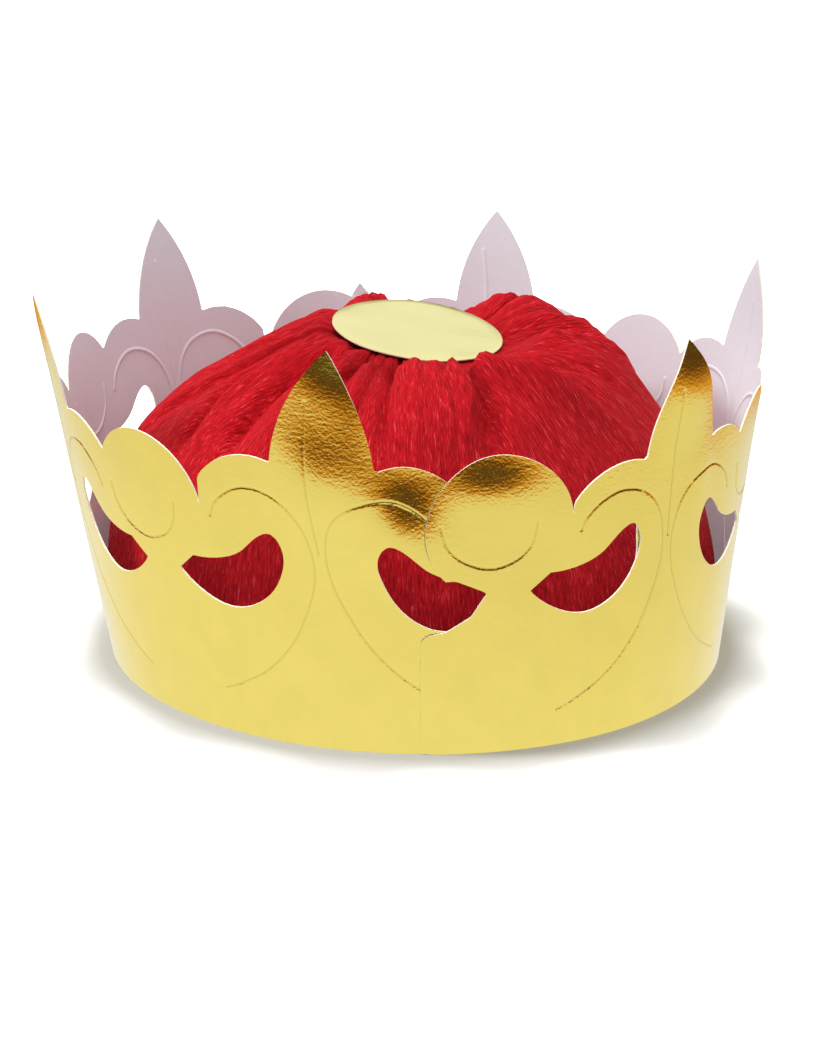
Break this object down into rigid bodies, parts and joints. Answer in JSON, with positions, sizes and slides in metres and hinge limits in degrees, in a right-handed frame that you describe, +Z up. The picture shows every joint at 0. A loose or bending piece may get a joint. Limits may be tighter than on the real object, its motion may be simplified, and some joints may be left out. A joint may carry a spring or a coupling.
{
  "type": "paper crown",
  "caption": "Gold card party crown with pointed leaves and round lobes, cut-out windows, and a gathered red crepe-paper cap under a round gold card disc.",
  "frame": {"origin": "middle of the ring's bottom edge, on the surface the crown stands on", "axes": "+Z up towards the points, -Y the front with the overlap of the two blanks, +X the crown's right as seen from the front"},
  "size_m": [0.2164, 0.2179, 0.1177],
  "materials": {
    "gold_card": "mirror gold foil outside, plain white card inside",
    "red_crepe": "matt crinkled crepe",
    "gold_disc": "satin gold foil"
  },
  "bodies": {
    "root": {"left_band": "gold_card", "right_band": "gold_card", "crepe_cap": "red_crepe", "top_disc": "gold_disc"}
  },
  "joints": []
}
